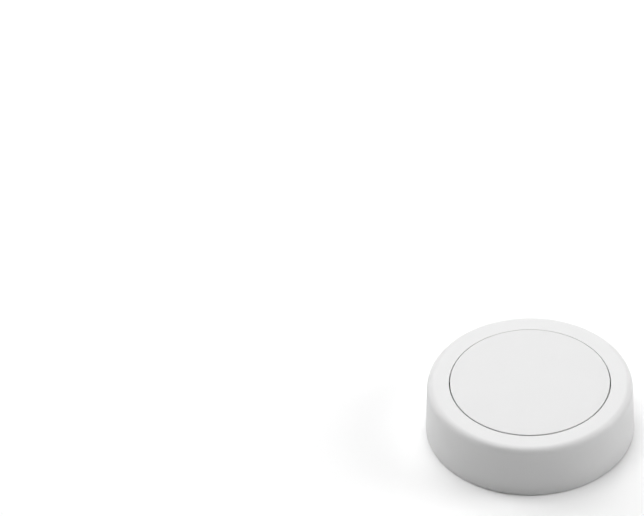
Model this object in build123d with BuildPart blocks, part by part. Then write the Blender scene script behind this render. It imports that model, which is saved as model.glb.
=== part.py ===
from build123d import *
from math import cos, radians, sin, tan
import os

# Round smart push button on a coin cell: the whole top plate is the key.
# Lengths are in millimetres, angles in degrees and +Z is up. The origin is the
# centre of the adhesive pad's underside.

# Clearances and overlaps that all pieces share
seat_clearance = 0.02
running_clearance = 0.05
fit_clearance = 0.15
cap_gap = 0.15
cover_gap = 0.2
root_bite = 0.3
overrun = 1.0

# Coin cell, a round standard size
cell_radius = 10.0
cell_height = 3.2
can_rim = 0.45
can_rim_drop = 0.3
crown_inset = 0.85
crown_height = 1.0
seal_recess = 0.1

# Travel of the button
press_travel = 0.2

# Button cap
cap_thickness = 1.0
cap_proud = 0.08
skirt_wall = 0.7
catch_thickness = 0.5
catch_reach = 0.55
catch_spread = 40.0
catch_count = 3
boss_radius = 0.9
stiffener_height = 0.35
stiffener_wall = 0.6
light_well_radius = 1.2
light_well_depth = 0.5

# Gasket under the cap
gasket_width = 0.8
gasket_height = 0.6

# Moulded shell
shell_wall = 1.85
wall_draft = 1.5
shoulder_radius = 1.3
shoulder_steps = 4
bezel_lip = 1.5
rib_width = 1.0
rib_count = 6
tick_width = 0.3
tick_length = 0.7
tick_depth = 0.12
tick_margin = 0.3

# Inner frame that carries the board round the cell
bay_clearance = 0.3
frame_channel = 2.0
frame_wall = 0.7
frame_floor = 0.8
web_thickness = 0.6
web_count = 6
web_start = 45.0
peg_depth = 0.6
peg_width = 1.2
peg_angles = (90.0, 255.0)
window_width = 3.6

# Snap tabs that hold the frame in the shell
snap_width = 3.0
snap_slot = 0.5
snap_reach = 0.3
snap_height = 0.8
snap_flat = 0.25
snap_count = 3
snap_start = 135.0

# Bayonet between the frame and the battery cover
ledge_thickness = 0.7
lug_thickness = 0.7
lug_count = 3
lug_start = 90.0
lug_spread = 26.0
entry_slack = 4.0
turn_to_open = 32.0
stop_slack = 1.0
stop_spread = 6.0

# Battery cover, its sealing ring and the adhesive pad
cover_floor = 0.8
hook_wall = 0.8
seat_rib_height = 0.15
seat_rib_width = 0.6
seat_rib_length = 3.0
seat_rib_count = 6
seat_rib_radius_share = 0.7
ring_width = 0.7
ring_height = 0.7
pad_thickness = 0.6
pad_proud = 0.1
pad_margin = 2.1
grip_slot_width = 0.5
grip_slot_depth = 0.4
grip_slot_spread = 24.0
grip_slot_count = 2

# Circuit board
board_thickness = 0.8
board_margin = 0.4

# Tactile switch
switch_side = 4.0
switch_floor = 0.1
switch_well_radius = 1.5
switch_plate_sheet = 0.07
flap_width = 1.6
flap_drop = 0.3
dome_radius = 1.35
dome_crown_share = 0.45
dome_sheet = 0.06
plunger_radius = 0.75
plunger_flange_radius = 1.05
plunger_flange = 0.1
terminal_length = 0.45
terminal_width = 0.7
terminal_thickness = 0.12
terminal_pitch_share = 0.55

# Small parts on the board's top face
part_gap = 0.8
chip_side = 5.0
chip_height = 0.7
chip_corner = 0.5
crystal_length = 2.5
crystal_width = 2.0
crystal_height = 0.55
antenna_length = 3.2
antenna_width = 1.6
antenna_height = 0.7
antenna_end = 0.4
antenna_step = 0.05
light_width = 1.2
light_length = 1.6
light_base = 0.3
light_lens_height = 0.3
light_lens_length = 1.0
light_angle = 270.0
passive_length = 1.0
passive_width = 0.5
passive_end = 0.2
passive_step = 0.04
passive_gap = 0.5
passive_columns = 2
passive_rows = 4
resistor_height = 0.35
capacitor_height = 0.5

# Battery contacts
contact_reach = 0.65
spring_sheet = 0.15
spring_hub_radius = 2.0
spring_arm_width = 1.5
spring_arm_reach = 4.2
spring_tip_length = 0.8
spring_tip_rise = 0.25
spring_bend_radius = 0.5
spring_arm_count = 3
clip_sheet = 0.2
clip_width = 3.0
clip_foot = 1.3
clip_drop = 0.95
clip_bulge_rise = 0.5
clip_bend_radius = 0.15
clip_count = 2

# Heights, stacked upwards from the surface that the pad is on
foot_z = pad_proud
cover_inside_z = pad_thickness + cover_floor
cell_bottom_z = cover_inside_z + seat_rib_height + running_clearance
cell_top_z = cell_bottom_z + cell_height
board_bottom_z = cell_top_z + contact_reach
board_top_z = board_bottom_z + board_thickness
ledge_bottom_z = cover_inside_z + 2 * running_clearance
ledge_top_z = ledge_bottom_z + ledge_thickness
lug_bottom_z = ledge_top_z + running_clearance
lug_top_z = lug_bottom_z + lug_thickness
bay_bottom_z = lug_top_z + fit_clearance
frame_floor_z = board_bottom_z - frame_floor
gasket_top_z = board_top_z + gasket_height
skirt_bottom_z = gasket_top_z + running_clearance
catch_top_z = skirt_bottom_z + catch_thickness
bezel_bottom_z = catch_top_z + running_clearance

# Heights in the switch, whose dome flattens by the whole travel
well_z = board_top_z + switch_floor
dome_top_z = well_z + dome_sheet + press_travel
plunger_bottom_z = dome_top_z + seat_clearance
plate_bottom_z = plunger_bottom_z + plunger_flange + seat_clearance
switch_top_z = plate_bottom_z + switch_plate_sheet
plunger_top_z = switch_top_z + press_travel + running_clearance
boss_bottom_z = plunger_top_z + seat_clearance

# The pressed cap's ribs just clear the tallest part on the board
light_height = light_base + light_lens_height
switch_height = switch_top_z - board_top_z
chip_heights = (chip_height, crystal_height, antenna_height)
passive_heights = (resistor_height, capacitor_height)
tallest_part = max(light_height, switch_height, *chip_heights, *passive_heights)
stiffener_z = board_top_z + tallest_part + press_travel + running_clearance
cap_inside_z = stiffener_z + stiffener_height
top_z = cap_inside_z + cap_thickness
bezel_top_z = top_z - cap_proud

# Radii, worked outwards from the cell
bay_radius = cell_radius + bay_clearance
frame_inner_radius = bay_radius + frame_channel
frame_radius = frame_inner_radius + frame_wall
bore_radius = frame_radius + fit_clearance
body_radius = bore_radius + shell_wall
board_radius = bore_radius - board_margin
opening_radius = bore_radius - bezel_lip
cap_radius = opening_radius - cap_gap
skirt_inner_radius = cap_radius - skirt_wall
catch_radius = opening_radius + catch_reach
rib_radius = opening_radius + cap_gap
gasket_radius = cap_radius - running_clearance
gasket_inner_radius = gasket_radius - gasket_width
cover_radius = bore_radius - cover_gap
hook_radius = bay_radius + hook_wall
ledge_radius = hook_radius + cover_gap
lug_radius = frame_inner_radius - cover_gap
pad_radius = bore_radius - pad_margin
pad_recess_radius = pad_radius + fit_clearance
ring_radius = bore_radius - running_clearance
ring_inner_radius = ring_radius - ring_width
step_radius = ring_inner_radius - seat_clearance

# Angles of the features that repeat round the axis
entry_start = lug_start - turn_to_open
entry_spread = lug_spread + entry_slack
catch_start = 180.0 / rib_count


def radial_plane(angle):
    """Upright plane through the axis: its x runs outwards at that angle, its y runs up."""
    turn = radians(angle)
    return Plane(
        origin=(0, 0, 0),
        x_dir=(cos(turn), sin(turn), 0),
        z_dir=(sin(turn), -cos(turn), 0),
    )


def radial_planes(count, start):
    """Evenly spaced upright planes round the axis."""
    return [radial_plane(start + 360.0 * i / count) for i in range(count)]


def wedge(reach, spread, mode=Mode.ADD):
    """Triangle from the axis out past a circle of that radius, spread degrees wide."""
    side = reach * tan(radians(spread / 2))
    return Polygon((0, 0), (reach, -side), (reach, side), align=None, mode=mode)


def corner(section, level, side):
    """Corner of a half section: levels count upwards, side 0 is nearest the axis."""
    return section.vertices().group_by(Axis.Y)[level].sort_by(Axis.X)[side]


# Quarter circle of the shoulder, from its tangent point on the drafted wall to the bezel
shoulder_z = bezel_top_z - shoulder_radius
shoulder_wall_radius = body_radius - (shoulder_z - foot_z) * tan(radians(wall_draft))
shoulder_centre_radius = shoulder_wall_radius - shoulder_radius / cos(radians(wall_draft))
shoulder_points = []
for i in range(shoulder_steps + 1):
    shoulder_turn = radians(wall_draft + (90.0 - wall_draft) * i / shoulder_steps)
    shoulder_x = shoulder_centre_radius + shoulder_radius * cos(shoulder_turn)
    shoulder_points.append((shoulder_x, shoulder_z + shoulder_radius * sin(shoulder_turn)))

# Outer shell: drafted wall, rounded shoulder and the bezel round the cap
with BuildPart() as outer_shell:
    with BuildSketch(Plane.XZ):
        with BuildLine():
            Polyline(
                (bore_radius, foot_z),
                (body_radius, foot_z),
                *shoulder_points,
                (opening_radius, bezel_top_z),
                (opening_radius, bezel_bottom_z),
                (bore_radius, bezel_bottom_z),
                close=True,
            )
        make_face()
    revolve(axis=Axis.Z)

    # Ribs that hold the board down on the frame and stop the cap from turning
    with BuildSketch(Plane.XY.offset(board_top_z)):
        with PolarLocations(rib_radius, rib_count):
            rib_depth = bore_radius + root_bite - rib_radius
            Rectangle(rib_depth, rib_width, align=(Align.MIN, Align.CENTER))
    extrude(amount=bezel_bottom_z + root_bite - board_top_z)

    # Pockets that the frame's snap tabs catch in
    snap_top_z = frame_floor_z - snap_slot
    snap_bottom_z = snap_top_z - snap_height
    pocket_radius = frame_radius + snap_reach + fit_clearance
    with BuildSketch(Plane.XY.offset(snap_bottom_z - running_clearance)):
        with PolarLocations(bore_radius - overrun, snap_count, start_angle=snap_start):
            pocket_depth = pocket_radius - bore_radius + overrun
            pocket_width = snap_width + 2 * fit_clearance
            Rectangle(pocket_depth, pocket_width, align=(Align.MIN, Align.CENTER))
    extrude(amount=snap_height + 2 * running_clearance, mode=Mode.SUBTRACT)

    # Ticks on the foot at the locked and the open position of the cover
    with BuildSketch(Plane.XY.offset(foot_z)):
        for tick_angle in (lug_start, entry_start):
            with PolarLocations(bore_radius + tick_margin, 1, start_angle=tick_angle):
                Rectangle(tick_length, tick_width, align=(Align.MIN, Align.CENTER))
    extrude(amount=tick_depth, mode=Mode.SUBTRACT)

# Button cap: plate with a skirt, ribbed on its underside
with BuildPart() as button_cap:
    with BuildSketch(Plane.XZ):
        with BuildLine():
            Polyline(
                (0, cap_inside_z),
                (0, top_z),
                (cap_radius, top_z),
                (cap_radius, skirt_bottom_z),
                (skirt_inner_radius, skirt_bottom_z),
                (skirt_inner_radius, cap_inside_z),
                close=True,
            )
        make_face()
    revolve(axis=Axis.Z)

    # Catches that the bezel holds, each between two of the shell's ribs
    with BuildSketch(Plane.XY.offset(skirt_bottom_z)):
        with PolarLocations(0, catch_count, start_angle=catch_start):
            wedge(body_radius, catch_spread)
        Circle(catch_radius, mode=Mode.INTERSECT)
        Circle(cap_radius - skirt_wall / 2, mode=Mode.SUBTRACT)
    extrude(amount=catch_thickness)

    # Boss over the switch, and the spokes that stiffen the plate
    with BuildSketch(Plane.XY.offset(boss_bottom_z)):
        Circle(boss_radius)
    extrude(amount=cap_inside_z - boss_bottom_z)
    with BuildSketch(Plane.XY.offset(stiffener_z)):
        with PolarLocations(0, rib_count):
            spoke_length = cap_radius - skirt_wall / 2
            Rectangle(spoke_length, stiffener_wall, align=(Align.MIN, Align.CENTER))
    extrude(amount=stiffener_height)

    # Thinned spot that the status light shines through
    light_radius = gasket_inner_radius - part_gap - light_width / 2
    with BuildSketch(Plane.XY.offset(cap_inside_z)):
        with PolarLocations(light_radius, 1, start_angle=light_angle):
            Circle(light_well_radius)
    extrude(amount=light_well_depth, mode=Mode.SUBTRACT)

# Silicone gasket on the board, under the cap's skirt
with BuildPart() as cap_gasket:
    with BuildSketch(Plane.XY.offset(board_top_z)):
        Circle(gasket_radius)
        Circle(gasket_inner_radius, mode=Mode.SUBTRACT)
    extrude(amount=gasket_height)

# Inner frame: floor ring under the board, outer wall, and webs that centre the cell
with BuildPart() as inner_frame:
    with BuildSketch(Plane.XY.offset(frame_floor_z)):
        Circle(frame_radius)
        Circle(bay_radius, mode=Mode.SUBTRACT)
    extrude(amount=frame_floor)
    with BuildSketch(Plane.XY.offset(ledge_bottom_z)):
        Circle(frame_radius)
        Circle(frame_inner_radius, mode=Mode.SUBTRACT)
    extrude(amount=frame_floor_z - ledge_bottom_z)
    with BuildSketch(Plane.XY.offset(bay_bottom_z)):
        with PolarLocations(bay_radius, web_count, start_angle=web_start):
            web_length = frame_channel + root_bite
            Rectangle(web_length, web_thickness, align=(Align.MIN, Align.CENTER))
    extrude(amount=frame_floor_z - bay_bottom_z)

    # Bayonet ledges, with the entries that the cover's lugs pass through
    with BuildSketch(Plane.XY.offset(ledge_bottom_z)):
        Circle(frame_inner_radius + root_bite)
        Circle(ledge_radius, mode=Mode.SUBTRACT)
        with PolarLocations(0, lug_count, start_angle=entry_start):
            wedge(body_radius, entry_spread, mode=Mode.SUBTRACT)
    extrude(amount=ledge_thickness)

    # Stops on the ledges that end the turn at both sides
    locked_stop = lug_start + lug_spread / 2 + stop_slack + stop_spread / 2
    open_stop = entry_start - entry_spread / 2 - stop_spread / 2
    with BuildSketch(Plane.XY.offset(ledge_top_z)):
        for stop_angle in (locked_stop, open_stop):
            with PolarLocations(0, lug_count, start_angle=stop_angle):
                wedge(body_radius, stop_spread)
        Circle(frame_inner_radius + root_bite, mode=Mode.INTERSECT)
        Circle(ledge_radius, mode=Mode.SUBTRACT)
    extrude(amount=lug_top_z - ledge_top_z)

    # Slots at both sides of each snap tab and the slit above it
    slot_radius = frame_inner_radius - root_bite
    slot_length = frame_wall + root_bite + overrun
    with BuildSketch(Plane.XY.offset(ledge_top_z)):
        with PolarLocations(slot_radius, snap_count, start_angle=snap_start):
            with GridLocations(0, snap_width + snap_slot, 1, 2):
                Rectangle(slot_length, snap_slot, align=(Align.MIN, Align.CENTER))
    extrude(amount=frame_floor_z - ledge_top_z, mode=Mode.SUBTRACT)
    with BuildSketch(Plane.XY.offset(snap_top_z)):
        with PolarLocations(slot_radius, snap_count, start_angle=snap_start):
            slit_width = snap_width + 2 * snap_slot
            Rectangle(slot_length, slit_width, align=(Align.MIN, Align.CENTER))
    extrude(amount=snap_slot, mode=Mode.SUBTRACT)

    # Barbs on the tabs, thin at the top, which enters the shell first
    with BuildSketch(*radial_planes(snap_count, snap_start)):
        with BuildLine():
            Polyline(
                (frame_radius - root_bite, snap_bottom_z),
                (frame_radius + snap_reach, snap_bottom_z),
                (frame_radius + snap_reach, snap_bottom_z + snap_flat),
                (frame_radius, snap_top_z),
                (frame_radius - root_bite, snap_top_z),
                close=True,
            )
        make_face()
    extrude(amount=snap_width / 2, both=True)

    # Windows in the floor ring for the feet of the cell's side clips
    clip_leg_radius = bay_radius + clip_sheet
    clip_foot_radius = clip_leg_radius + clip_foot
    with BuildSketch(Plane.XY.offset(frame_floor_z)):
        with PolarLocations(bay_radius - overrun, clip_count):
            window_depth = clip_foot_radius + fit_clearance - bay_radius + overrun
            Rectangle(window_depth, window_width, align=(Align.MIN, Align.CENTER))
    extrude(amount=frame_floor, mode=Mode.SUBTRACT)

    # Pegs that the board's notches fit
    peg_radius = board_radius - peg_depth
    with BuildSketch(Plane.XY.offset(board_bottom_z)):
        for peg_angle in peg_angles:
            with PolarLocations(peg_radius, 1, start_angle=peg_angle):
                Rectangle(peg_depth, peg_width, align=(Align.MIN, Align.CENTER))
    extrude(amount=board_thickness - running_clearance)

# Circuit board, with a notch for each peg
with BuildPart() as circuit_board:
    with BuildSketch(Plane.XY.offset(board_bottom_z)):
        Circle(board_radius)
        for peg_angle in peg_angles:
            with PolarLocations(peg_radius - running_clearance, 1, start_angle=peg_angle):
                notch_width = peg_width + 2 * running_clearance
                notch_align = (Align.MIN, Align.CENTER)
                Rectangle(overrun, notch_width, align=notch_align, mode=Mode.SUBTRACT)
    extrude(amount=board_thickness)

# Tactile switch: moulded base with the dome's well
with BuildPart() as switch_base:
    with BuildSketch(Plane.XY.offset(board_top_z)):
        Rectangle(switch_side, switch_side)
    extrude(amount=plate_bottom_z - board_top_z)
    with BuildSketch(Plane.XY.offset(well_z)):
        Circle(switch_well_radius)
    extrude(amount=plate_bottom_z - well_z, mode=Mode.SUBTRACT)

# Solder terminals of the switch
with BuildPart() as switch_terminals:
    terminal_pitch = switch_side * terminal_pitch_share
    with BuildSketch(Plane.XY.offset(board_top_z)):
        with GridLocations(terminal_pitch, switch_side + terminal_length, 2, 2):
            Rectangle(terminal_width, terminal_length)
    extrude(amount=terminal_thickness)

# Snap dome that gives the click: a flat crown on a thin sloping skirt
dome_crown_radius = dome_radius * dome_crown_share
with BuildPart() as switch_dome:
    with BuildSketch(Plane.XZ):
        with BuildLine():
            Polyline(
                (0, dome_top_z - dome_sheet),
                (0, dome_top_z),
                (dome_crown_radius, dome_top_z),
                (dome_radius, well_z + dome_sheet),
                (dome_radius, well_z),
                (dome_crown_radius, dome_top_z - dome_sheet),
                close=True,
            )
        make_face()
    revolve(axis=Axis.Z)

# Plunger that passes the press from the cap's boss to the dome
with BuildPart() as switch_plunger:
    with BuildSketch(Plane.XY.offset(plunger_bottom_z)):
        Circle(plunger_flange_radius)
    extrude(amount=plunger_flange)
    with BuildSketch(Plane.XY.offset(plunger_bottom_z)):
        Circle(plunger_radius)
    extrude(amount=plunger_top_z - plunger_bottom_z)

# Steel plate that closes the switch, with a flap folded down each side
with BuildPart() as switch_plate:
    with BuildSketch(Plane.XY.offset(plate_bottom_z)):
        Rectangle(switch_side, switch_side)
        with GridLocations(switch_side, 0, 2, 1):
            Rectangle(2 * switch_plate_sheet, flap_width)
        Circle(plunger_radius + running_clearance, mode=Mode.SUBTRACT)
    extrude(amount=switch_plate_sheet)
    with BuildSketch(Plane.XY.offset(switch_top_z - flap_drop)):
        with GridLocations(switch_side + switch_plate_sheet, 0, 2, 1):
            Rectangle(switch_plate_sheet, flap_width)
    extrude(amount=flap_drop)

# Radio chip, with the cut corner that marks its first pin
chip_x = switch_side / 2 + part_gap + chip_side / 2
with BuildPart() as radio_chip:
    with BuildSketch(Plane.XY.offset(board_top_z)) as chip_outline:
        with Locations((chip_x, 0)):
            Rectangle(chip_side, chip_side)
        chamfer(corner(chip_outline, -1, 0), chip_corner)
    extrude(amount=chip_height)

# Timing crystals, one at each side of the radio chip
with BuildPart() as timing_crystals:
    crystal_pitch = chip_side + 2 * part_gap + crystal_width
    with BuildSketch(Plane.XY.offset(board_top_z)):
        with Locations((chip_x, 0)):
            with GridLocations(0, crystal_pitch, 1, 2):
                Rectangle(crystal_length, crystal_width)
    extrude(amount=crystal_height)

# Chip antenna at the board's edge, with a raised solder cap at each end
with BuildPart() as chip_antenna:
    antenna_x = part_gap + antenna_width / 2 - gasket_inner_radius
    with BuildSketch(Plane.XY.offset(board_top_z)):
        with Locations((antenna_x, 0)):
            Rectangle(antenna_width, antenna_length)
    extrude(amount=antenna_height)
    with BuildSketch(Plane.XY.offset(board_top_z + antenna_height)):
        with Locations((antenna_x, 0)):
            Rectangle(antenna_width, antenna_length - 2 * antenna_end)
    extrude(amount=-antenna_step, mode=Mode.SUBTRACT)

# Status light under the cap's thinned spot: a base with a clear block on it
with BuildPart() as status_light:
    with BuildSketch(Plane.XY.offset(board_top_z)):
        with PolarLocations(light_radius, 1, start_angle=light_angle):
            Rectangle(light_width, light_length)
    extrude(amount=light_base)
    with BuildSketch(Plane.XY.offset(board_top_z + light_base)):
        with PolarLocations(light_radius, 1, start_angle=light_angle):
            Rectangle(light_width, light_lens_length)
    extrude(amount=light_lens_height)

# Places of the capacitors and resistors, in rows between the switch and the antenna
column_pitch = passive_length + passive_gap
row_pitch = passive_width + passive_gap
grid_half_width = ((passive_columns - 1) * column_pitch + passive_length) / 2
passive_x = -switch_side / 2 - part_gap - grid_half_width
column_places = [passive_x + side * column_pitch / 2 for side in (-1, 1)]

# Resistors in the outer column, each with a raised solder cap at both ends
with BuildPart() as board_resistors:
    with BuildSketch(Plane.XY.offset(board_top_z)):
        with Locations((column_places[0], 0)):
            with GridLocations(0, row_pitch, 1, passive_rows):
                Rectangle(passive_length, passive_width)
    extrude(amount=resistor_height)
    with BuildSketch(Plane.XY.offset(board_top_z + resistor_height)):
        with Locations((column_places[0], 0)):
            with GridLocations(0, row_pitch, 1, passive_rows):
                Rectangle(passive_length - 2 * passive_end, passive_width)
    extrude(amount=-passive_step, mode=Mode.SUBTRACT)

# Capacitors in the column beside the switch
with BuildPart() as board_capacitors:
    with BuildSketch(Plane.XY.offset(board_top_z)):
        with Locations((column_places[1], 0)):
            with GridLocations(0, row_pitch, 1, passive_rows):
                Rectangle(passive_length, passive_width)
    extrude(amount=capacitor_height)
    with BuildSketch(Plane.XY.offset(board_top_z + capacitor_height)):
        with Locations((column_places[1], 0)):
            with GridLocations(0, row_pitch, 1, passive_rows):
                Rectangle(passive_length - 2 * passive_end, passive_width)
    extrude(amount=-passive_step, mode=Mode.SUBTRACT)

# Spring contact under the board, whose arms press on the cell's crown
with BuildPart() as negative_contact:
    spring_z = board_bottom_z - spring_sheet / 2
    arm_touch_z = cell_top_z + seat_clearance + spring_sheet / 2
    arm_touch_radius = spring_hub_radius + spring_arm_reach
    with BuildSketch(Plane.XY.offset(board_bottom_z - spring_sheet)):
        Circle(spring_hub_radius)
    extrude(amount=spring_sheet)
    with BuildSketch(*radial_planes(spring_arm_count, lug_start)):
        with BuildLine():
            FilletPolyline(
                (spring_hub_radius / 2, spring_z),
                (spring_hub_radius + spring_bend_radius, spring_z),
                (arm_touch_radius, arm_touch_z),
                (arm_touch_radius + spring_tip_length, arm_touch_z + spring_tip_rise),
                radius=spring_bend_radius,
            )
        trace(line_width=spring_sheet)
    extrude(amount=spring_arm_width / 2, both=True)

# Clips that press on the side of the cell's can
with BuildPart() as positive_contacts:
    clip_z = board_bottom_z - clip_sheet / 2
    clip_start_z = clip_z - clip_drop
    clip_touch_radius = cell_radius + seat_clearance + clip_sheet / 2
    with BuildSketch(*radial_planes(clip_count, 0)):
        with BuildLine():
            FilletPolyline(
                (clip_foot_radius, clip_z),
                (clip_leg_radius, clip_z),
                (clip_leg_radius, clip_start_z),
                (clip_touch_radius, clip_start_z - clip_bulge_rise),
                (clip_leg_radius, clip_start_z - 2 * clip_bulge_rise),
                radius=clip_bend_radius,
            )
        trace(line_width=clip_sheet)
    extrude(amount=clip_width / 2, both=True)

# Cell can: the positive pole, a cup whose rim holds the seal
can_top_z = cell_top_z - can_rim_drop
rim_radius = cell_radius - can_rim
crown_radius = rim_radius - crown_inset
crown_bottom_z = cell_top_z - crown_height
with BuildPart() as cell_can:
    with BuildSketch(Plane.XZ):
        with BuildLine():
            Polyline(
                (0, cell_bottom_z),
                (cell_radius, cell_bottom_z),
                (cell_radius, can_top_z),
                (rim_radius, can_top_z),
                (rim_radius, crown_bottom_z),
                (0, crown_bottom_z),
                close=True,
            )
        make_face()
    revolve(axis=Axis.Z)

# Cell crown: the negative pole
with BuildPart() as cell_crown:
    with BuildSketch(Plane.XY.offset(crown_bottom_z)):
        Circle(crown_radius)
    extrude(amount=crown_height)

# Seal between the can's rim and the crown
with BuildPart() as cell_seal:
    with BuildSketch(Plane.XY.offset(crown_bottom_z)):
        Circle(rim_radius - seat_clearance)
        Circle(crown_radius + seat_clearance, mode=Mode.SUBTRACT)
    extrude(amount=can_top_z - seal_recess - crown_bottom_z)

# Battery cover: recess for the pad below, step for the sealing ring in its edge
step_z = cover_inside_z - ring_height
with BuildPart() as battery_cover:
    with BuildSketch(Plane.XZ):
        with BuildLine():
            Polyline(
                (0, pad_thickness),
                (pad_recess_radius, pad_thickness),
                (pad_recess_radius, foot_z),
                (cover_radius, foot_z),
                (cover_radius, step_z),
                (step_radius, step_z),
                (step_radius, cover_inside_z),
                (0, cover_inside_z),
                close=True,
            )
        make_face()
    revolve(axis=Axis.Z)

    # Ribs that the cell sits on
    with BuildSketch(Plane.XY.offset(cover_inside_z)):
        with PolarLocations(cell_radius * seat_rib_radius_share, seat_rib_count):
            Rectangle(seat_rib_length, seat_rib_width)
    extrude(amount=seat_rib_height)

    # Bayonet hooks: posts round the cell, with lugs that turn over the frame's ledges
    with BuildSketch(Plane.XY.offset(cover_inside_z)):
        with PolarLocations(0, lug_count, start_angle=lug_start):
            wedge(body_radius, lug_spread)
        Circle(hook_radius, mode=Mode.INTERSECT)
        Circle(bay_radius, mode=Mode.SUBTRACT)
    extrude(amount=lug_top_z - cover_inside_z)
    with BuildSketch(Plane.XY.offset(lug_bottom_z)):
        with PolarLocations(0, lug_count, start_angle=lug_start):
            wedge(body_radius, lug_spread)
        Circle(lug_radius, mode=Mode.INTERSECT)
        Circle(bay_radius, mode=Mode.SUBTRACT)
    extrude(amount=lug_thickness)

    # Curved slots that the cover is turned by
    slot_circle_radius = (pad_recess_radius + cover_radius) / 2
    with BuildSketch(Plane.XY.offset(foot_z)):
        with PolarLocations(0, grip_slot_count):
            wedge(body_radius, grip_slot_spread)
        Circle(slot_circle_radius + grip_slot_width / 2, mode=Mode.INTERSECT)
        Circle(slot_circle_radius - grip_slot_width / 2, mode=Mode.SUBTRACT)
    extrude(amount=grip_slot_depth, mode=Mode.SUBTRACT)

    # Tick that meets the shell's ticks
    with BuildSketch(Plane.XY.offset(foot_z)):
        with PolarLocations(cover_radius - tick_margin, 1, start_angle=lug_start):
            Rectangle(tick_length, tick_width, align=(Align.MAX, Align.CENTER))
    extrude(amount=tick_depth, mode=Mode.SUBTRACT)

# Sealing ring on the cover's step, against the shell's bore
with BuildPart() as cover_seal:
    with BuildSketch(Plane.XY.offset(step_z)):
        Circle(ring_radius)
        Circle(ring_inner_radius, mode=Mode.SUBTRACT)
    extrude(amount=ring_height)

# Adhesive foam pad in the cover's recess
with BuildPart() as adhesive_pad:
    with BuildSketch():
        Circle(pad_radius)
    extrude(amount=pad_thickness)

pieces = {
    "outer_shell": outer_shell,
    "button_cap": button_cap,
    "cap_gasket": cap_gasket,
    "inner_frame": inner_frame,
    "circuit_board": circuit_board,
    "switch_base": switch_base,
    "switch_terminals": switch_terminals,
    "switch_dome": switch_dome,
    "switch_plunger": switch_plunger,
    "switch_plate": switch_plate,
    "radio_chip": radio_chip,
    "timing_crystals": timing_crystals,
    "chip_antenna": chip_antenna,
    "status_light": status_light,
    "board_resistors": board_resistors,
    "board_capacitors": board_capacitors,
    "negative_contact": negative_contact,
    "positive_contacts": positive_contacts,
    "cell_can": cell_can,
    "cell_crown": cell_crown,
    "cell_seal": cell_seal,
    "battery_cover": battery_cover,
    "cover_seal": cover_seal,
    "adhesive_pad": adhesive_pad,
}

os.makedirs("parts", exist_ok=True)
for name, piece in pieces.items():
    piece.part.label = name
    export_step(piece.part, f"parts/{name}.step")
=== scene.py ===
from math import cos, pi, radians, sin, tan

import bmesh
import bpy
from mathutils import Matrix, Vector


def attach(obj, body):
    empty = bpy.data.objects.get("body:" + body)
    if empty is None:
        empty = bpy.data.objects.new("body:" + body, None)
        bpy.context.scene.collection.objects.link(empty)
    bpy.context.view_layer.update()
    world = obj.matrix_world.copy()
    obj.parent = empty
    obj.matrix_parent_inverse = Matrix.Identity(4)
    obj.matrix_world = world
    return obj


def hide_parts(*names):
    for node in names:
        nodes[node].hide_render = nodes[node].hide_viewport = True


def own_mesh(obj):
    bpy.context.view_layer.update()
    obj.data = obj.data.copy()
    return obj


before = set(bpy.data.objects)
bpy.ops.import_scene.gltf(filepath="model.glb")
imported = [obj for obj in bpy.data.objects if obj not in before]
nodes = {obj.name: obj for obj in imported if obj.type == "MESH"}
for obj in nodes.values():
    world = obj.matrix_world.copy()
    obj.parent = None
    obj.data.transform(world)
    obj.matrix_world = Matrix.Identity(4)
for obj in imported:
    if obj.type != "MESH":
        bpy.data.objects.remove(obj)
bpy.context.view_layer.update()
MM = 0.001

# Sizes as in the model, in millimetres and degrees. Only the shoulder differs: here it is one
# smooth arc and a little tighter.

# Outer shell
FOOT_Z = 0.1
BODY_RADIUS = 15.0
WALL_DRAFT = 1.5
SHOULDER_RADIUS = 1.1
BORE_RADIUS = 13.15
OPENING_RADIUS = 11.65
BEZEL_TOP_Z = 8.47
BEZEL_BOTTOM_Z = 7.45
BOARD_TOP_Z = 6.25
RIB_COUNT = 6
RIB_WIDTH = 1.0
RIB_RADIUS = 11.8
SNAP_START = 135.0
SNAP_COUNT = 3
POCKET_WIDTH = 3.3
POCKET_RADIUS = 13.45
POCKET_BOTTOM_Z = 3.3
POCKET_TOP_Z = 4.2

# Button cap
CAP_RADIUS = 11.5
CAP_TOP_Z = 8.55
CAP_INSIDE_Z = 7.55
SKIRT_BOTTOM_Z = 6.9
SKIRT_INNER_RADIUS = 10.8
CATCH_RADIUS = 12.2
CATCH_TOP_Z = 7.4
CATCH_SPREAD = 40.0
CATCH_COUNT = 3
BOSS_RADIUS = 0.9
BOSS_BOTTOM_Z = 7.09
SPOKE_BOTTOM_Z = 7.2
SPOKE_WIDTH = 0.6
LIGHT_WELL_RADIUS = 1.2
LIGHT_WELL_Z = 8.05
LIGHT_RADIUS = 9.25
LIGHT_ANGLE = 270.0

# Battery cover, and the ticks on its underside and the shell's
LOCKED_ANGLE = 90.0
OPEN_ANGLE = 58.0
TICK_WIDTH = 0.3
TICK_LENGTH = 0.7
TICK_DEPTH = 0.12
TICK_MARGIN = 0.3
COVER_RADIUS = 12.95
COVER_INSIDE_Z = 1.4
STEP_RADIUS = 12.38
STEP_Z = 0.7
PAD_RECESS_RADIUS = 11.2
GRIP_RADIUS = 12.075
GRIP_WIDTH = 0.5
GRIP_DEPTH = 0.4
GRIP_SPREAD = 24.0
GRIP_COUNT = 2
SEAT_RIB_RADII = (5.5, 8.5)
SEAT_RIB_WIDTH = 0.6
SEAT_RIB_TOP_Z = 1.55
SEAT_RIB_COUNT = 6
BAY_RADIUS = 10.3
HOOK_RADIUS = 11.1
LUG_RADIUS = 12.1
LUG_BOTTOM_Z = 2.25
LUG_TOP_Z = 2.95
LUG_SPREAD = 26.0
LUG_COUNT = 3

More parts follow.
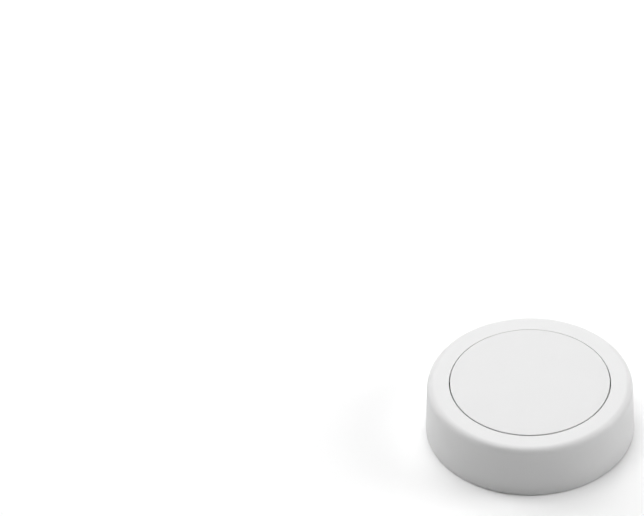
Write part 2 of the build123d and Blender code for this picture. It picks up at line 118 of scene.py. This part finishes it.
# Sealing ring, adhesive pad, gasket and snap dome
RING_RADIUS = 13.1
RING_INNER_RADIUS = 12.4
PAD_RADIUS = 11.05
PAD_TOP_Z = 0.6
GASKET_RADIUS = 11.45
GASKET_INNER_RADIUS = 10.65
GASKET_TOP_Z = 6.85

# Edge roundings, which the model leaves out
BORE_ROUNDING = 0.1
FOOT_ROUNDING = 0.06
OPENING_ROUNDING = 0.05
CAP_ROUNDING = 0.06
SKIRT_ROUNDING = 0.05
RECESS_ROUNDING = 0.1
RECESS_LIP_ROUNDING = 0.08
COVER_ROUNDING = 0.1
STEP_ROUNDING = 0.05
RING_ROUNDING = 0.25
PAD_ROUNDING = 0.1
GASKET_ROUNDING = 0.15

# How far a cutter runs past a face, and how deep added shapes are rooted in a wall or a plate
OVERRUN = 1.0
WALL_ROOT = 0.3
PLATE_ROOT = 0.1

# Edges sharper than this stay sharp under smooth shading
CREASE_ANGLE = 35.0


# Mesh helpers. Lengths are in millimetres and angles in degrees.
def angles(count, start=0.0):
    """Evenly spaced angles round the axis."""
    return [start + 360.0 * k / count for k in range(count)]


def rounded(corners, steps=8):
    """Closed outline of (radius, height, rounding) corners. A rounding above 0 makes an arc."""
    outline = []
    for i, (x, z, rounding) in enumerate(corners):
        here = Vector((x, z))
        if rounding == 0:
            outline.append(here)
            continue
        back = (Vector(corners[i - 1][:2]) - here).normalized()
        on = (Vector(corners[(i + 1) % len(corners)][:2]) - here).normalized()
        half = back.angle(on) / 2
        centre = here + (back + on).normalized() * rounding / sin(half)
        start = here + back * rounding / tan(half) - centre
        end = here + on * rounding / tan(half) - centre
        turn = -start.angle_signed(end)
        for k in range(steps + 1):
            outline.append(centre + Matrix.Rotation(turn * k / steps, 2) @ start)
    return outline


def ring_outline(inner, outer, low, high, rounding):
    """Rounded rectangle as the outline of a ring."""
    corners = ((inner, low), (outer, low), (outer, high), (inner, high))
    return rounded([(x, z, rounding) for x, z in corners])


def new_object(name, data):
    """Object that holds the data, linked to the scene."""
    obj = bpy.data.objects.new(name, data)
    bpy.context.scene.collection.objects.link(obj)
    return obj


def smooth(mesh):
    """Smooth shading, with creases at the sharp edges."""
    mesh.shade_smooth()
    mesh.set_sharp_from_angle(angle=radians(CREASE_ANGLE))


def finish_mesh(name, bm):
    """Object from a bmesh, with outward normals and smooth shading."""
    bmesh.ops.recalc_face_normals(bm, faces=bm.faces)
    mesh = bpy.data.meshes.new(name)
    bm.to_mesh(mesh)
    bm.free()
    smooth(mesh)
    return new_object(name, mesh)


def lathe(name, outline, segments=256):
    """Object made by turning a closed outline round the Z axis."""
    bm = bmesh.new()
    rings = []
    for k in range(segments):
        turn = 2 * pi * k / segments
        across, along = cos(turn), sin(turn)
        points = [(x * across * MM, x * along * MM, z * MM) for x, z in outline]
        rings.append([bm.verts.new(point) for point in points])
    count = len(outline)
    for k, ring in enumerate(rings):
        after = rings[(k + 1) % segments]
        for i in range(count):
            j = (i + 1) % count
            if outline[i][0] == 0 and outline[j][0] == 0:
                continue
            bm.faces.new((ring[i], after[i], after[j], ring[j]))
    bmesh.ops.remove_doubles(bm, verts=bm.verts, dist=1e-8)
    return finish_mesh(name, bm)


def spoke(bm, radii, width, heights, angle):
    """Box along the radius at that angle, between two radii and two heights."""
    low = (radii[0], -width / 2, heights[0])
    high = (radii[1], width / 2, heights[1])
    for v in bmesh.ops.create_cube(bm, size=1.0)["verts"]:
        x, y, z = ((a + (b - a) * (c + 0.5)) * MM for a, b, c in zip(low, high, v.co))
        v.co = Matrix.Rotation(radians(angle), 3, "Z") @ Vector((x, y, z))


def tick(bm, start, angle):
    """Cutter for a tick on the underside, from that radius outwards."""
    heights = (FOOT_Z - OVERRUN, FOOT_Z + TICK_DEPTH)
    spoke(bm, (start, start + TICK_LENGTH), TICK_WIDTH, heights, angle)


def sector(bm, radii, heights, angle, spread, steps=12):
    """Part of a ring round that angle, between two radii and two heights."""
    inner, outer = radii
    low, high = heights
    corners = ((inner, low), (outer, low), (outer, high), (inner, high))
    columns = []
    for k in range(steps + 1):
        turn = radians(angle + spread * (k / steps - 0.5))
        across, along = cos(turn), sin(turn)
        points = [(r * across * MM, r * along * MM, z * MM) for r, z in corners]
        columns.append([bm.verts.new(point) for point in points])
    for one, two in zip(columns, columns[1:]):
        for i in range(4):
            j = (i + 1) % 4
            bm.faces.new((one[i], two[i], two[j], one[j]))
    bm.faces.new(columns[0])
    bm.faces.new(columns[-1][::-1])


def post(bm, radius, heights, segments, away=0.0, angle=0.0):
    """Upright cylinder between two heights, on the axis or away from it at that angle."""
    low, high = heights
    turned = Matrix.Rotation(radians(angle), 4, "Z") @ Matrix.Translation((away * MM, 0, 0))
    bmesh.ops.create_cone(
        bm,
        cap_ends=True,
        segments=segments,
        radius1=radius * MM,
        radius2=radius * MM,
        depth=(high - low) * MM,
        matrix=turned @ Matrix.Translation((0, 0, (low + high) / 2 * MM)),
    )


def cut(obj, bm):
    """Cuts a bmesh out of an object and applies the result."""
    cutter = finish_mesh("cutter", bm)
    modifier = obj.modifiers.new("cut", "BOOLEAN")
    modifier.operation = "DIFFERENCE"
    modifier.solver = "EXACT"
    modifier.object = cutter
    graph = bpy.context.evaluated_depsgraph_get()
    mesh = bpy.data.meshes.new_from_object(obj.evaluated_get(graph))
    obj.modifiers.clear()
    obj.data = mesh
    bpy.data.objects.remove(cutter)
    smooth(mesh)


def add(obj, bm):
    """Adds the faces of a bmesh to an object's own mesh."""
    bmesh.ops.recalc_face_normals(bm, faces=bm.faces)
    extra = bpy.data.meshes.new("extra")
    bm.to_mesh(extra)
    bm.free()
    whole = bmesh.new()
    whole.from_mesh(obj.data)
    whole.from_mesh(extra)
    whole.to_mesh(obj.data)
    whole.free()
    bpy.data.meshes.remove(extra)
    smooth(obj.data)


def paint(obj, material):
    """Gives a piece its one material."""
    obj.data.materials.clear()
    obj.data.materials.append(material)


def dress(obj, material, body, node):
    """Gives a piece its material and its body, and hides the model's node that it stands for."""
    paint(obj, material)
    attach(obj, body)
    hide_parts(node)


# Looks shared by a kind of material. Scales are in cells per metre and depths in millimetres,
# tints multiply the colour, and gloss is added to the roughness.
FLOW_SCALE = 160.0
FLOW_TINT = (0.985, 1.01)
FLOW_GLOSS = (-0.04, 0.05)
GLOW_DEPTH = 0.5
ROLLED_SCALE = 900.0
ROLLED_STRETCH = (1.0, 1.0, 30.0)
ROLLED_TINT = (0.92, 1.04)
ROLLED_GLOSS = (-0.07, 0.1)
ROLLED_DEPTH = 0.002
CELL_SCALE = 3800.0
CELL_TOP = 0.7
CELL_TINT = (0.7, 1.25)
CELL_GLOSS = (-0.1, 0.1)
CELL_DEPTH = 0.03


# Node helpers
def plug(target, inputs):
    """Sets a node's inputs: a socket is linked, and anything else is a plain value."""
    for key, value in inputs.items():
        if isinstance(value, bpy.types.NodeSocket):
            target.id_data.links.new(value, target.inputs[key])
        else:
            target.inputs[key].default_value = value


def add_node(tree, kind, inputs, **settings):
    """Node with its settings and its inputs."""
    made = tree.nodes.new(kind)
    for key, value in settings.items():
        setattr(made, key, value)
    plug(made, inputs)
    return made


def new_material(name):
    """Material with its node tree and its Principled shader."""
    mat = bpy.data.materials.new(name)
    mat.use_nodes = True
    tree = mat.node_tree
    return mat, tree, tree.nodes["Principled BSDF"]


def object_place(tree):
    """Coordinates that move with the piece, in metres."""
    return add_node(tree, "ShaderNodeTexCoord", {}).outputs["Object"]


def noise(tree, place, scale, detail, roughness=0.5):
    """Noise pattern from 0 to 1."""
    inputs = {"Vector": place, "Scale": scale, "Detail": detail, "Roughness": roughness}
    return add_node(tree, "ShaderNodeTexNoise", inputs).outputs["Fac"]


def ramp(tree, value, limits, top=1.0):
    """Brings a value that runs from 0 to top between two limits."""
    low, high = limits
    inputs = {"Value": value, "From Max": top, "To Min": low, "To Max": high}
    return add_node(tree, "ShaderNodeMapRange", inputs).outputs["Result"]


def uneven(tree, value, roughness, gloss):
    """Roughness that follows a pattern."""
    return ramp(tree, value, [roughness + change for change in gloss])


def relief(tree, height, depth, strength=1.0):
    """Normal that follows a pattern's height."""
    inputs = {"Height": height, "Distance": depth * MM, "Strength": strength}
    return add_node(tree, "ShaderNodeBump", inputs).outputs["Normal"]


def shaded(tree, colour, factor):
    """Colour times a factor."""
    inputs = {0: colour, "Scale": factor}
    return add_node(tree, "ShaderNodeVectorMath", inputs, operation="SCALE").outputs["Vector"]


# Materials
def moulded(name, colour, roughness, grain=9000.0, grain_depth=0.004, specular=0.4, glow=0.0):
    """Moulded plastic: a spark-eroded grain, faint flow marks in colour and a little uneven gloss.

    Glow is the share of light that spreads under the surface.
    """
    mat, tree, shader = new_material(name)
    place = object_place(tree)
    flow = noise(tree, place, FLOW_SCALE, detail=3.0, roughness=0.55)
    dark, light = ([min(c * factor, 1.0) for c in colour] + [1.0] for factor in FLOW_TINT)
    ends = {0: flow, 6: dark, 7: light}
    tint = add_node(tree, "ShaderNodeMix", ends, data_type="RGBA").outputs[2]
    fine = noise(tree, place, grain, detail=2.0, roughness=0.6)
    surface = {
        "Base Color": tint,
        "Roughness": uneven(tree, flow, roughness, FLOW_GLOSS),
        "Normal": relief(tree, fine, grain_depth),
        "Specular IOR Level": specular,
        "Subsurface Weight": glow,
        "Subsurface Radius": (1.0, 1.0, 1.0),
        "Subsurface Scale": GLOW_DEPTH * MM,
    }
    plug(shader, surface)
    return mat


def metal(name, colour, roughness):
    """Sheet metal: fine rolled lines in one direction and uneven gloss."""
    mat, tree, shader = new_material(name)
    mapping = {"Vector": object_place(tree), "Scale": ROLLED_STRETCH}
    place = add_node(tree, "ShaderNodeMapping", mapping).outputs["Vector"]
    lines = noise(tree, place, ROLLED_SCALE, detail=4.0)
    surface = {
        "Base Color": shaded(tree, colour, ramp(tree, lines, ROLLED_TINT)),
        "Roughness": uneven(tree, lines, roughness, ROLLED_GLOSS),
        "Normal": relief(tree, lines, ROLLED_DEPTH, strength=0.6),
        "Metallic": 1.0,
    }
    plug(shader, surface)
    return mat


def foam(name, colour, roughness):
    """Closed-cell foam: small cells in colour, gloss and height."""
    mat, tree, shader = new_material(name)
    texture = {"Vector": object_place(tree), "Scale": CELL_SCALE}
    cells = add_node(tree, "ShaderNodeTexVoronoi", texture, feature="F1").outputs["Distance"]
    surface = {
        "Base Color": shaded(tree, colour, ramp(tree, cells, CELL_TINT, top=CELL_TOP)),
        "Roughness": uneven(tree, cells, roughness, CELL_GLOSS),
        "Normal": relief(tree, cells, CELL_DEPTH, strength=0.8),
        "Specular IOR Level": 0.3,
    }
    plug(shader, surface)
    return mat


def soft(name, colour, roughness):
    """Silicone or rubber: a satin skin with faint mould haze."""
    return moulded(name, colour, roughness, grain=5000.0, grain_depth=0.002, specular=0.5)


white_body = moulded(
    "white_body", (0.795, 0.795, 0.795), 0.46, grain=7000.0, grain_depth=0.014, glow=0.4
)
white_cap = moulded(
    "white_cap", (0.775, 0.775, 0.775), 0.44, grain=9000.0, grain_depth=0.009, glow=0.4
)
white_cover = moulded("white_cover", (0.76, 0.76, 0.755), 0.5, grain=7000.0, grain_depth=0.014)
silicone = soft("silicone", (0.55, 0.55, 0.55), 0.4)
black_rubber = soft("black_rubber", (0.02, 0.02, 0.02), 0.45)
pad_foam = foam("pad_foam", (0.055, 0.055, 0.058), 0.85)
solder_mask = moulded(
    "solder_mask", (0.008, 0.11, 0.035), 0.28, grain=2600.0, grain_depth=0.004, specular=0.55
)
steel = metal("steel", (0.62, 0.62, 0.62), 0.3)
nickel = metal("nickel", (0.64, 0.62, 0.58), 0.32)

# The inner pieces keep the model's own shapes
finishes = {
    "inner_frame": moulded("grey_frame", (0.66, 0.66, 0.65), 0.5),
    "circuit_board": solder_mask,
    "switch_base": moulded("black_resin", (0.03, 0.03, 0.03), 0.5),
    "switch_terminals": metal("tin", (0.75, 0.75, 0.74), 0.24),
    "switch_plunger": moulded("ivory_resin", (0.72, 0.68, 0.6), 0.4),
    "switch_plate": steel,
    "radio_chip": moulded("chip_epoxy", (0.022, 0.022, 0.025), 0.58, grain=7000.0),
    "timing_crystals": nickel,
    "chip_antenna": moulded("ceramic", (0.74, 0.78, 0.82), 0.22, specular=0.6),
    "status_light": moulded("clear_resin", (0.85, 0.85, 0.82), 0.2, specular=0.6),
    "board_resistors": moulded("resistor_glaze", (0.03, 0.03, 0.035), 0.3, specular=0.5),
    "board_capacitors": moulded("fired_ceramic", (0.34, 0.21, 0.1), 0.42),
    "negative_contact": nickel,
    "positive_contacts": nickel,
    "cell_can": metal("can_steel", (0.6, 0.6, 0.6), 0.26),
    "cell_crown": metal("crown_steel", (0.55, 0.55, 0.55), 0.36),
    "cell_seal": moulded("grommet", (0.04, 0.04, 0.04), 0.5),
}
for name, material in finishes.items():
    paint(nodes[name], material)

# Outer shell: drafted wall, rounded shoulder, bezel round the cap, snap pockets, ticks and ribs
brow_radius = BODY_RADIUS - (BEZEL_TOP_Z - FOOT_Z) * tan(radians(WALL_DRAFT))
shell_corners = (
    (BORE_RADIUS, FOOT_Z, BORE_ROUNDING),
    (BODY_RADIUS, FOOT_Z, FOOT_ROUNDING),
    (brow_radius, BEZEL_TOP_Z, SHOULDER_RADIUS),
    (OPENING_RADIUS, BEZEL_TOP_Z, OPENING_ROUNDING),
    (OPENING_RADIUS, BEZEL_BOTTOM_Z, 0.0),
    (BORE_RADIUS, BEZEL_BOTTOM_Z, 0.0),
)
shell = lathe("shell_body", rounded(shell_corners, steps=14))
holes = bmesh.new()
radii = (BORE_RADIUS - OVERRUN, POCKET_RADIUS)
for angle in angles(SNAP_COUNT, SNAP_START):
    spoke(holes, radii, POCKET_WIDTH, (POCKET_BOTTOM_Z, POCKET_TOP_Z), angle)
for angle in (LOCKED_ANGLE, OPEN_ANGLE):
    tick(holes, BORE_RADIUS + TICK_MARGIN, angle)
cut(shell, holes)
ribs = bmesh.new()
radii = (RIB_RADIUS, BORE_RADIUS + WALL_ROOT)
for angle in angles(RIB_COUNT):
    spoke(ribs, radii, RIB_WIDTH, (BOARD_TOP_Z, BEZEL_BOTTOM_Z + WALL_ROOT), angle)
add(shell, ribs)
dress(shell, white_body, "housing", "outer_shell")

# Button cap: the round key with its skirt, the well over the light, spokes, catches and boss
cap_corners = (
    (0.0, CAP_INSIDE_Z, 0.0),
    (0.0, CAP_TOP_Z, 0.0),
    (CAP_RADIUS, CAP_TOP_Z, CAP_ROUNDING),
    (CAP_RADIUS, SKIRT_BOTTOM_Z, SKIRT_ROUNDING),
    (SKIRT_INNER_RADIUS, SKIRT_BOTTOM_Z, SKIRT_ROUNDING),
    (SKIRT_INNER_RADIUS, CAP_INSIDE_Z, 0.0),
)
cap = lathe("cap_plate", rounded(cap_corners))
well = bmesh.new()
well_heights = (CAP_INSIDE_Z - OVERRUN, LIGHT_WELL_Z)
post(well, LIGHT_WELL_RADIUS, well_heights, segments=64, away=LIGHT_RADIUS, angle=LIGHT_ANGLE)
cut(cap, well)
under = bmesh.new()
root_z = CAP_INSIDE_Z + PLATE_ROOT
radii = (0.0, SKIRT_INNER_RADIUS + WALL_ROOT)
for angle in angles(RIB_COUNT):
    spoke(under, radii, SPOKE_WIDTH, (SPOKE_BOTTOM_Z, root_z), angle)
radii = (CAP_RADIUS - WALL_ROOT, CATCH_RADIUS)
for angle in angles(CATCH_COUNT, 180.0 / RIB_COUNT):
    sector(under, radii, (SKIRT_BOTTOM_Z, CATCH_TOP_Z), angle, CATCH_SPREAD)
post(under, BOSS_RADIUS, (BOSS_BOTTOM_Z, root_z), segments=48)
add(cap, under)
dress(cap, white_cap, "button", "button_cap")

# Battery cover: pad recess, step for the sealing ring, grip slots, tick, cell seat and hooks
cover_corners = (
    (0.0, COVER_INSIDE_Z, 0.0),
    (0.0, PAD_TOP_Z, 0.0),
    (PAD_RECESS_RADIUS, PAD_TOP_Z, RECESS_ROUNDING),
    (PAD_RECESS_RADIUS, FOOT_Z, RECESS_LIP_ROUNDING),
    (COVER_RADIUS, FOOT_Z, COVER_ROUNDING),
    (COVER_RADIUS, STEP_Z, STEP_ROUNDING),
    (STEP_RADIUS, STEP_Z, 0.0),
    (STEP_RADIUS, COVER_INSIDE_Z, STEP_ROUNDING),
)
cover = lathe("cover_disc", rounded(cover_corners, steps=5))
slots = bmesh.new()
radii = (GRIP_RADIUS - GRIP_WIDTH / 2, GRIP_RADIUS + GRIP_WIDTH / 2)
for angle in angles(GRIP_COUNT):
    sector(slots, radii, (FOOT_Z - OVERRUN, FOOT_Z + GRIP_DEPTH), angle, GRIP_SPREAD)
tick(slots, COVER_RADIUS - TICK_MARGIN - TICK_LENGTH, LOCKED_ANGLE)
cut(cover, slots)
upper = bmesh.new()
root_z = COVER_INSIDE_Z - PLATE_ROOT
for angle in angles(SEAT_RIB_COUNT):
    spoke(upper, SEAT_RIB_RADII, SEAT_RIB_WIDTH, (root_z, SEAT_RIB_TOP_Z), angle)
for angle in angles(LUG_COUNT, LOCKED_ANGLE):
    sector(upper, (BAY_RADIUS, HOOK_RADIUS), (root_z, LUG_TOP_Z), angle, LUG_SPREAD)
    sector(upper, (HOOK_RADIUS, LUG_RADIUS), (LUG_BOTTOM_Z, LUG_TOP_Z), angle, LUG_SPREAD)
add(cover, upper)
dress(cover, white_cover, "cover", "battery_cover")

# Sealing ring and adhesive pad, which turn with the cover
ring = lathe(
    "seal_ring",
    ring_outline(RING_INNER_RADIUS, RING_RADIUS, STEP_Z, COVER_INSIDE_Z, RING_ROUNDING),
)
dress(ring, black_rubber, "cover", "cover_seal")
pad_corners = (
    (0.0, PAD_TOP_Z, 0.0),
    (0.0, 0.0, 0.0),
    (PAD_RADIUS, 0.0, PAD_ROUNDING),
    (PAD_RADIUS, PAD_TOP_Z, PAD_ROUNDING),
)
pad = lathe("foam_pad", rounded(pad_corners))
dress(pad, pad_foam, "cover", "adhesive_pad")

# Gasket and snap dome, each with a mesh of its own; the real ones flatten with the press
gasket = lathe(
    "gasket_ring",
    ring_outline(GASKET_INNER_RADIUS, GASKET_RADIUS, BOARD_TOP_Z, GASKET_TOP_Z, GASKET_ROUNDING),
)
dome = new_object("snap_dome", nodes["switch_dome"].data.copy())
dress(gasket, silicone, "housing", "cap_gasket")
dress(dome, steel, "housing", "switch_dome")
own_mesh(gasket)
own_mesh(dome)

# Floor, in metres: white in the picture and in reflections, and a little darker for the light
# that it bounces onto the button
FLOOR_HALF = 3.0
FLOOR_Z = -0.00002
FLOOR_BOUNCE = 0.93

floor_mesh = bpy.data.meshes.new("floor")
floor_mesh.from_pydata(
    [(x * FLOOR_HALF, y * FLOOR_HALF, 0) for x, y in ((-1, -1), (1, -1), (1, 1), (-1, 1))],
    [],
    [(0, 1, 2, 3)],
)
floor = new_object("floor", floor_mesh)
floor.location.z = FLOOR_Z
floor_white, floor_tree, floor_shader = new_material("floor_white")
rays = add_node(floor_tree, "ShaderNodeLightPath", {}).outputs
seen = rays["Is Camera Ray"]
for kind in ("Is Glossy Ray", "Is Transmission Ray"):
    either = {0: seen, 1: rays[kind]}
    seen = add_node(floor_tree, "ShaderNodeMath", either, operation="MAXIMUM").outputs[0]
floor_look = {
    "Base Color": ramp(floor_tree, seen, (FLOOR_BOUNCE, 1.0)),
    "Roughness": 0.9,
    "Specular IOR Level": 0.1,
}
plug(floor_shader, floor_look)
floor_mesh.materials.append(floor_white)

# Soft square lamps that all point at the button: place and side in metres, power in watts
AIM = Vector((0, 0, 0))
LAMPS = {
    "key_light": ((-0.06, 0.0, 0.6), 0.4, 2.15),
    "back_light": ((0.0, 0.42, 0.5), 0.4, 1.39),
    "left_light": ((-0.5, 0.29, 0.3), 0.3, 1.23),
    "right_light": ((0.57, 0.03, 0.3), 0.3, 1.42),
}
for name, (place, side, power) in LAMPS.items():
    light = bpy.data.lights.new(name, "AREA")
    light.shape = "SQUARE"
    light.size = side
    light.energy = power
    lamp = new_object(name, light)
    lamp.location = place
    lamp.rotation_mode = "QUATERNION"
    lamp.rotation_quaternion = (AIM - Vector(place)).to_track_quat("-Z", "Y")

WORLD_STRENGTH = 0.02
world = bpy.data.worlds.new("studio")
world.use_nodes = True
background = world.node_tree.nodes["Background"]
plug(background, {"Color": (1.0, 1.0, 1.0, 1.0), "Strength": WORLD_STRENGTH})
bpy.context.scene.world = world
bpy.context.scene.view_settings.view_transform = "Standard"

# Camera: a long lens that looks down at the button, which sits right of the picture's middle and
# below it. The middle of the underside falls on BASE_PIXEL.
PICTURE = (644.0, 516.0)
FOCAL_PIXELS = 14000.0
BASE_PIXEL = (530.0, 426.7)
SIGHT_ELEVATION = 41.3
DISTANCE = 2.0187
ROLL = -0.8

camera_data = bpy.data.cameras.new("camera")
camera_data.sensor_width = 36.0
camera_data.lens = FOCAL_PIXELS / PICTURE[0] * camera_data.sensor_width
camera_data.clip_start = 0.1
camera_data.clip_end = 20.0
camera = new_object("camera", camera_data)
sight = Vector(
    (
        (BASE_PIXEL[0] - PICTURE[0] / 2) / FOCAL_PIXELS,
        (PICTURE[1] / 2 - BASE_PIXEL[1]) / FOCAL_PIXELS,
        -1.0,
    )
)
drop = radians(SIGHT_ELEVATION) + sight.y
level = Vector((1, 0, 0))
back = Vector((0, -cos(drop), sin(drop)))
up = back.cross(level)
right = level * cos(radians(ROLL)) + up * sin(radians(ROLL))
turn = Matrix((right, back.cross(right), back)).transposed()
camera.rotation_mode = "QUATERNION"
camera.rotation_quaternion = turn.to_quaternion()
camera.location = -(turn @ sight.normalized()) * DISTANCE
bpy.context.scene.camera = camera

bpy.context.view_layer.update()
